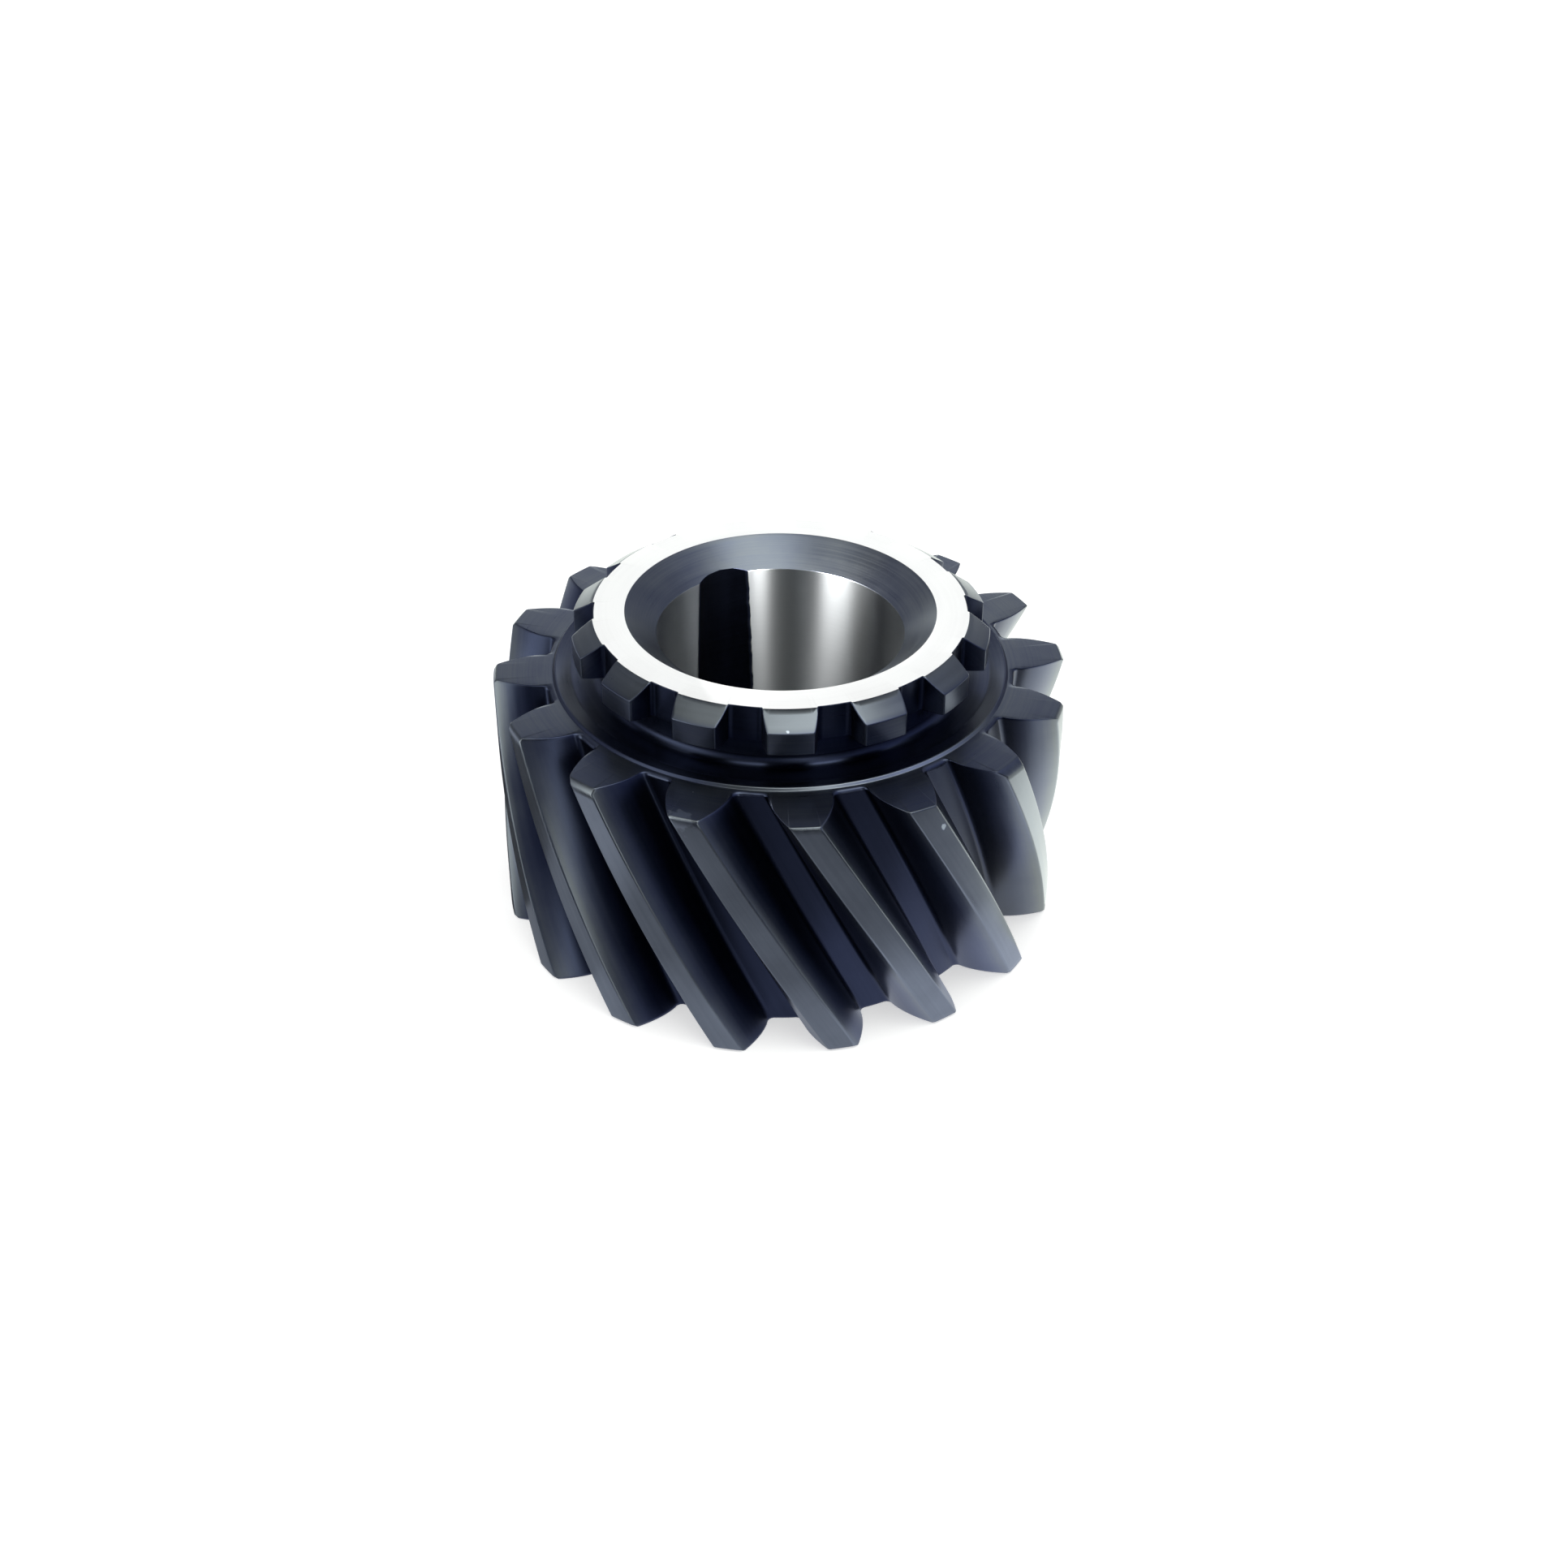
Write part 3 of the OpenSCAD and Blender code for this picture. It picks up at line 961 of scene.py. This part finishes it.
def grid_faces(columns, rows):
    """Faces of a grid of points listed row by row, with one more point than faces each way."""
    wide = columns + 1
    corners = [row * wide + column for row in range(rows) for column in range(columns)]
    return [(corner, corner + 1, corner + wide + 1, corner + wide) for corner in corners]


def direction(azimuth, elevation):
    """The unit vector towards an azimuth and an elevation, both in radians."""
    flat = rect(cos(elevation), azimuth - pi / 2)
    return Vector((flat.real, flat.imag, sin(elevation)))


def add_card(name, azimuths, elevations, colour, radiance):
    """A curved studio card round the pinion: a dark one is a flag, a bright one a strip light."""
    columns = max(2, round(abs(azimuths[1] - azimuths[0]) / CARD_STEP))
    rows = max(2, round(abs(elevations[1] - elevations[0]) / CARD_STEP))
    points = []
    for elevation in spread(radians(elevations[0]), radians(elevations[1]), rows):
        for azimuth in spread(radians(azimuths[0]), radians(azimuths[1]), columns):
            points.append(direction(azimuth, elevation) * CARD_DISTANCE)
    card = add_stage_mesh(name, points, grid_faces(columns, rows), emitter(name, colour, radiance))
    only_mirrored(card)


def add_floor_card(name, azimuths, radii, colour, radiance):
    """A flat card just above the floor that only the metal sees."""
    columns = max(2, round(abs(azimuths[1] - azimuths[0]) / CARD_STEP))
    points = []
    for r in radii:
        for azimuth in spread(radians(azimuths[0]), radians(azimuths[1]), columns):
            flat = rect(r, azimuth - pi / 2)
            points.append((flat.real, flat.imag, FLOOR_CARD_Z))
    card = add_stage_mesh(name, points, grid_faces(columns, 1), emitter(name, colour, radiance))
    only_mirrored(card)


def add_floor():
    """A plain white floor that stays white to the camera and keeps the pinion's shadow."""
    material, output = new_material("white_floor")
    material.cycles.emission_sampling = "NONE"
    tree = material.node_tree
    paper = node(tree, "ShaderNodeBsdfDiffuse", {"Color": (FLOOR_GREY, FLOOR_GREY, FLOOR_GREY, 1)})
    strength = calc(tree, "MULTIPLY", background_rays(tree), FLOOR_GLOW)
    glow = node(tree, "ShaderNodeEmission", {"Color": WHITE, "Strength": strength})
    total = node(tree, "ShaderNodeAddShader", {0: paper.outputs[0], 1: glow.outputs[0]})
    tree.links.new(total.outputs[0], output.inputs["Surface"])
    corners = [(x * FLOOR_HALF, y * FLOOR_HALF, 0) for x, y in ((-1, -1), (1, -1), (1, 1), (-1, 1))]
    add_stage_mesh("floor", corners, [(0, 1, 2, 3)], material)


def add_area_lamp(name, width, height, radiance):
    """A rectangular lamp, with its size in metres and a brightness where white is 1."""
    lamp = bpy.data.lights.new(name, "AREA")
    lamp.shape = "RECTANGLE"
    lamp.size = width
    lamp.size_y = height
    lamp.energy = radiance * pi * width * height
    obj = bpy.data.objects.new(name, lamp)
    bpy.context.collection.objects.link(obj)
    return obj


def add_softbox(name, azimuth, elevation, distance, width, depth, radiance):
    """A large lamp that looks at the pinion."""
    softbox = add_area_lamp(name, width, depth, radiance)
    softbox.data.color = CLEAR
    outward = direction(radians(azimuth), radians(elevation))
    softbox.location = outward * distance
    softbox.rotation_euler = outward.to_track_quat("Z", "Y").to_euler()


def add_bore_panel(name, x, y, facing, width, radiance):
    """A small upright light over the rim of the bore, which shines across it and shows only in the bore."""
    panel = add_area_lamp(name, width * MM, PANEL_HEIGHT * MM, radiance)
    panel.location = (x * MM, y * MM, PANEL_Z * MM)
    panel.rotation_euler = direction(radians(facing), 0).to_track_quat("-Z", "Y").to_euler()
    only_mirrored(panel)


def add_studio():
    """What the metal mirrors: cards all round and on the floor, a softbox and three panels for the bore."""
    for name, azimuths, elevations, colour, radiance in (
        ("front_left_low_flag", (-44, 8), (0, 25), COOL, 0.15),
        ("front_low_strip", (8, 22), (0, 25), NEUTRAL, 1.6),
        ("front_right_low_flag", (22, 45), (0, 25), COOL, 0.1),
        ("right_front_low_flag", (45, 105), (0, 25), COOL, 0.25),
        ("front_left_flag", (-42, 14), (25, 60), COOL, 0.03),
        ("front_strip", (14, 27), (25, 60), NEUTRAL, 1.5),
        ("front_right_flag", (27, 60), (25, 60), COOL, 0.3),
        ("right_front_flag", (60, 105), (25, 60), COOL, 0.42),
        ("right_back_flag", (105, 165), (0, 60), MILD, 0.34),
        ("back_strip", (165, 195), (0, 25), NEUTRAL, 1.9),
        ("back_flag", (165, 195), (25, 40), COOL, 0.33),
        ("back_upper_flag", (165, 195), (40, 60), COOL, 0.03),
        ("left_back_low_strip", (195, 212), (0, 15), NEUTRAL, 1.2),
        ("left_back_flag", (195, 255), (15, 60), MILD, 0.25),
        ("left_flag", (212, 284), (0, 15), MILD, 0.3),
        ("left_middle_flag", (255, 284), (15, 25), MILD, 0.4),
        ("left_upper_flag", (255, 285), (25, 60), COOL, 0.02),
        ("left_strip", (284, 316), (0, 25), NEUTRAL, 2.1),
        ("left_upper_strip", (285, 318), (25, 60), NEUTRAL, 1.2),
        ("back_ceiling", (105, 225), (60, 78), CLEAR, 0.28),
        ("left_ceiling", (225, 315), (60, 78), CLEAR, 0.7),
        ("right_ceiling", (-45, 105), (60, 78), CLEAR, 0.72),
        ("ceiling", (0, 360), (78, 90), CLEAR, 0.6),
    ):
        add_card(name, azimuths, elevations, colour, radiance)
    for name, azimuths, radii, colour, radiance in (
        # A dark card for the shadowed floor under the bore, which only the metal sees
        ("bore_shadow_card", (0, 360), (0, 0.0215), COOL, 0.02),
        ("floor_front_near", (-45, 15), (0.03, 0.066), MILD, 0.52),
        ("floor_front_right_near", (15, 45), (0.03, 0.068), MILD, 0.82),
        ("floor_front", (-45, 15), (0.066, 0.13), MILD, 0.31),
        ("floor_front_right", (15, 45), (0.068, 0.13), MILD, 0.3),
        ("floor_front_far", (-75, 75), (0.13, 1.5), COOL, 0.02),
        ("floor_right_side_near", (45, 64), (0.03, 0.07), MILD, 1.0),
        ("floor_right_side", (45, 64), (0.07, 0.13), MILD, 0.4),
        ("floor_right_middle", (64, 80), (0.03, 0.1), NEUTRAL, 1.0),
        ("floor_right_near", (80, 165), (0.03, 0.1), NEUTRAL, 1.8),
        ("floor_right", (64, 165), (0.1, 0.13), NEUTRAL, 1.2),
        ("floor_right_far", (75, 135), (0.13, 1.5), NEUTRAL, 0.7),
        ("floor_back", (165, 255), (0.03, 0.13), MILD, 0.04),
        ("floor_back_far", (135, 225), (0.13, 1.5), NEUTRAL, 1.9),
        ("floor_left_side", (255, 285), (0.03, 0.13), MILD, 0.08),
        ("floor_left_near", (285, 315), (0.03, 0.085), MILD, 0.35),
        ("floor_left", (285, 315), (0.085, 0.13), MILD, 0.7),
        ("floor_left_far", (225, 285), (0.13, 1.5), MILD, 0.65),
    ):
        add_floor_card(name, azimuths, radii, colour, radiance)
    add_softbox(
        "overhead_softbox", azimuth=30, elevation=71, distance=1.18, width=0.85, depth=0.42, radiance=2.3
    )
    for name, x, y, facing, width, radiance in (
        ("bore_panel_left", -20, -4, 108, 14, 38),
        ("bore_panel_left_back", -20, 8, 100, 9, 6),
        ("bore_panel_front", 11.5, -20, 180, 8.5, 34),
    ):
        add_bore_panel(name, x, y, facing, width, radiance)


def add_camera():
    """The camera, tilted down and rolled slightly."""
    camera = bpy.data.cameras.new("camera")
    camera.lens = CAMERA_LENS
    camera.sensor_width = SENSOR_WIDTH
    obj = bpy.data.objects.new("camera", camera)
    bpy.context.collection.objects.link(obj)
    turn = Matrix.Rotation(pi / 2 - CAMERA_TILT, 4, "X") @ Matrix.Rotation(CAMERA_ROLL, 4, "Z")
    obj.matrix_world = Matrix.Translation(CAMERA_PLACE) @ turn
    bpy.context.scene.camera = obj


add_pinion()
add_world()
add_floor()
add_studio()
add_camera()
bpy.context.scene.view_settings.view_transform = "Standard"
